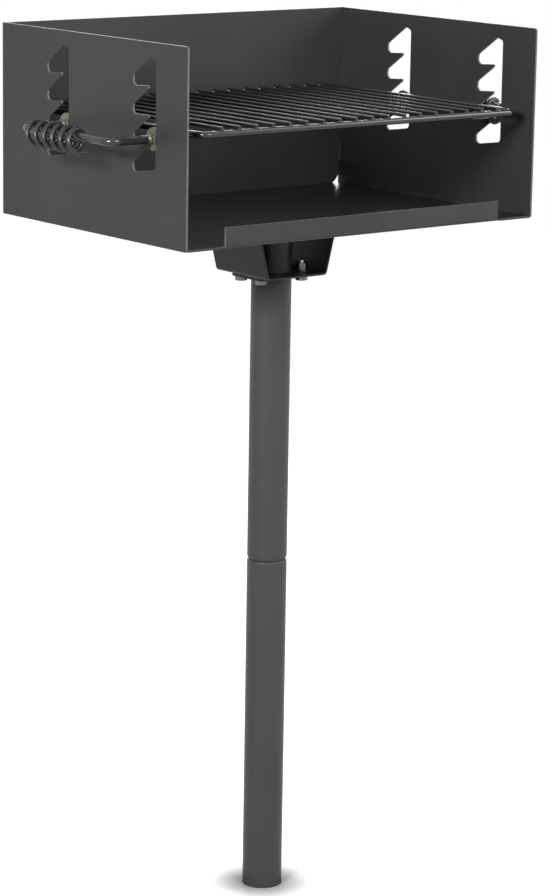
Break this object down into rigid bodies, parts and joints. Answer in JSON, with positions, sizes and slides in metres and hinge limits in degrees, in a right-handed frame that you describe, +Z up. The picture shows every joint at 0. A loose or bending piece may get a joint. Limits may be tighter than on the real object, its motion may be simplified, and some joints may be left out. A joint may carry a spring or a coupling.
{
  "type": "park barbecue grill pedestal",
  "caption": "Open-front steel charcoal firebox on a swivelling tube post, with a height-adjustable rod grate that hooks into toothed side slots by coil-grip handles.",
  "frame": {"origin": "centre of the post's foot, on the ground line", "axes": "+Z up the post, -Y the open front where the cook stands, +X to the cook's right"},
  "size_m": [0.8164, 0.452, 1.318],
  "materials": {
    "powder_coat": "satin powder coat, black grey",
    "zinc_fasteners": "bright zinc plating",
    "grate_steel": "satin heat-proof coating",
    "handle_steel": "semi-gloss powder coat",
    "disc_steel": "dull zinc plating",
    "grip_wire": "semi-gloss black spring wire"
  },
  "bodies": {
    "ground_post": {"lower_post": "powder_coat"},
    "firebox": {"upper_post": "powder_coat", "post_flange": "powder_coat", "mounting_bracket": "powder_coat", "flange_bolts": "zinc_fasteners", "flange_nuts": "zinc_fasteners", "flat_washers": "zinc_fasteners", "spring_washers": "zinc_fasteners", "floor_pan": "powder_coat", "back_panel": "powder_coat", "left_side_plate": "powder_coat", "right_side_plate": "powder_coat"},
    "grate": {"grate_frame": "grate_steel", "grate_rod_01": "grate_steel", "grate_rod_02": "grate_steel", "grate_rod_03": "grate_steel", "grate_rod_04": "grate_steel", "grate_rod_05": "grate_steel", "grate_rod_06": "grate_steel", "grate_rod_07": "grate_steel", "grate_rod_08": "grate_steel", "grate_rod_09": "grate_steel", "grate_rod_10": "grate_steel", "grate_rod_11": "grate_steel", "grate_rod_12": "grate_steel", "grate_rod_13": "grate_steel", "grate_rod_14": "grate_steel", "grate_rod_15": "grate_steel", "grate_rod_16": "grate_steel", "grate_rod_17": "grate_steel", "grate_rod_18": "grate_steel", "left_handle": "handle_steel", "right_handle": "handle_steel", "handle_disc_01": "disc_steel", "handle_disc_02": "disc_steel", "handle_disc_03": "disc_steel", "handle_disc_04": "disc_steel"},
    "left_grip": {"left_grip_coil": "grip_wire"},
    "right_grip": {"right_grip_coil": "grip_wire"}
  },
  "joints": [
    {"name": "post_swivel", "type": "hinge", "parent": "ground_post", "child": "firebox", "pos_m": [0, 0, 0.5173], "axis": [0, 0, 1], "continuous": true},
    {"name": "grate_lift", "type": "slide", "parent": "firebox", "child": "grate", "axis": [0, 0, 1], "range_m": [-0.036, 0.104]},
    {"name": "left_grip_slide", "type": "slide", "parent": "grate", "child": "left_grip", "axis": [0, 1, 0], "range_m": [-0.048, 0.009]},
    {"name": "right_grip_slide", "type": "slide", "parent": "grate", "child": "right_grip", "axis": [0, 1, 0], "range_m": [-0.053, 0.004]}
  ]
}
